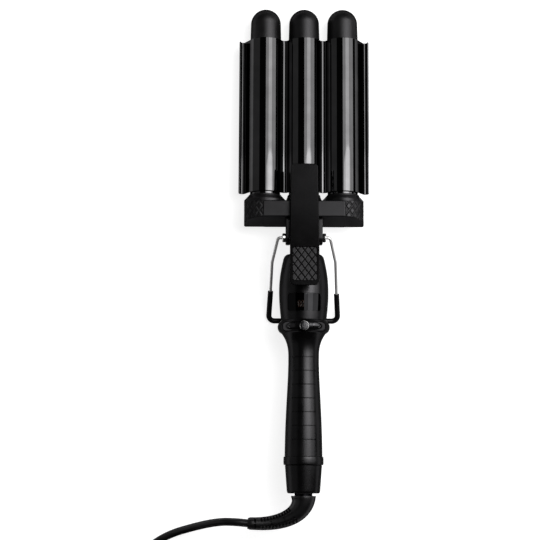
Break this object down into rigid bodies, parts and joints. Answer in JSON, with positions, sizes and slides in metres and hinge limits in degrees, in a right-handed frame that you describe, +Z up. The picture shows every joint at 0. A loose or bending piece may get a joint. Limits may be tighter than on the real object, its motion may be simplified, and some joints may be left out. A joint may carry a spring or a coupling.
{
  "type": "hair waver",
  "caption": "Corded hair waver: parallel heated barrels with a sprung corrugated clamp plate and thumb lever, a control housing with display and buttons, a folding wire stand and a swivel cord.",
  "frame": {"origin": "middle of the footprint of the object without its cord, on the surface it lies on", "axes": "+Y from the cord end towards the barrel tips, +Z up from the surface towards the clamp lever, +X to the right seen from the lever's side with the tips away"},
  "size_m": [0.2061, 0.5438, 0.0622],
  "materials": {
    "barrel_coating": "glossy black ceramic coating",
    "plate_coating": "glossy black coating",
    "tip_plastic": "matt heat-proof plastic",
    "head_plastic": "fine grained, diamond pattern at the ends",
    "handle_plastic": "soft matt",
    "lever_plastic": "soft matt",
    "pad_plastic": "diamond relief",
    "window_plastic": "polished smoke grey",
    "button_plastic": "satin",
    "chrome_trim": "bright chrome",
    "stand_steel": "plated wire",
    "sleeve_rubber": "matt silicone",
    "cord_rubber": "satin cord sheath",
    "pin_metal": "nickel-plated",
    "plain_steel": "zinc-plated",
    "neck_steel": "black",
    "heater_aluminium": "extruded",
    "sensor_glass": "glass bead",
    "board_laminate": "solder mask",
    "display_glass": "display block",
    "wire_insulation": "silicone sleeving",
    "inner_plastic": "moulded"
  },
  "bodies": {
    "handle": {"barrel_tube_left": "barrel_coating", "barrel_tube_centre": "barrel_coating", "barrel_tube_right": "barrel_coating", "barrel_tip_left": "tip_plastic", "barrel_tip_centre": "tip_plastic", "barrel_tip_right": "tip_plastic", "barrel_collar_left": "head_plastic", "barrel_collar_centre": "head_plastic", "barrel_collar_right": "head_plastic", "heater_left": "heater_aluminium", "heater_centre": "heater_aluminium", "heater_right": "heater_aluminium", "thermistor": "sensor_glass", "thermal_fuse": "plain_steel", "head_chassis": "plain_steel", "head_front_cover": "head_plastic", "head_rear_cover": "head_plastic", "head_screws": "plain_steel", "neck_tube": "neck_steel", "pivot_saddle": "head_plastic", "hinge_pin": "plain_steel", "pivot_bushes": "chrome_trim", "clamp_spring": "plain_steel", "handle_front_shell": "handle_plastic", "handle_rear_shell": "handle_plastic", "handle_screws": "plain_steel", "display_window": "window_plastic", "display_module": "display_glass", "control_board": "board_laminate", "internal_wiring": "wire_insulation", "handle_band": "handle_plastic", "end_cap": "handle_plastic", "swivel_socket": "inner_plastic", "mains_cord": "cord_rubber", "cord_coil": "cord_rubber", "cord_tail": "cord_rubber", "cord_tie": "cord_rubber", "plug_body": "cord_rubber", "plug_pins": "pin_metal"},
    "clamp": {"clamp_plate": "plate_coating", "clamp_bracket": "plain_steel", "clamp_lever": "lever_plastic", "thumb_pad": "pad_plastic", "clamp_rivets": "plain_steel"},
    "stand": {"stand_wire": "stand_steel", "stand_sleeve": "sleeve_rubber"},
    "left_button": {"button_left": "button_plastic"},
    "power_button": {"button_power": "button_plastic", "power_ring": "chrome_trim"},
    "right_button": {"button_right": "button_plastic"},
    "swivel": {"swivel_core": "inner_plastic", "cord_elbow": "cord_rubber"}
  },
  "joints": [
    {"name": "clamp_hinge", "type": "hinge", "parent": "handle", "child": "clamp", "pos_m": [0, 0.01965, 0.0334], "axis": [1, 0, 0], "range_deg": [0, 18], "stiffness_Nm_per_rad": 0.6, "springref_deg": -22.92, "deforming": ["clamp_spring"]},
    {"name": "stand_hinge", "type": "hinge", "parent": "handle", "child": "stand", "pos_m": [0, 0.01965, 0.0334], "axis": [1, 0, 0], "range_deg": [0, 80]},
    {"name": "left_button_press", "type": "slide", "parent": "handle", "child": "left_button", "axis": [0, -0.0432, -0.9991], "range_m": [0, 0.0005], "stiffness_N_per_m": 600, "springref_m": -0.001},
    {"name": "power_button_press", "type": "slide", "parent": "handle", "child": "power_button", "axis": [0, -0.0432, -0.9991], "range_m": [0, 0.0005], "stiffness_N_per_m": 600, "springref_m": -0.001},
    {"name": "right_button_press", "type": "slide", "parent": "handle", "child": "right_button", "axis": [0, -0.0432, -0.9991], "range_m": [0, 0.0005], "stiffness_N_per_m": 600, "springref_m": -0.001},
    {"name": "cord_swivel", "type": "hinge", "parent": "handle", "child": "swivel", "pos_m": [0, 0.02109, 0.02033], "axis": [0, 0.9991, -0.0432], "continuous": true}
  ]
}
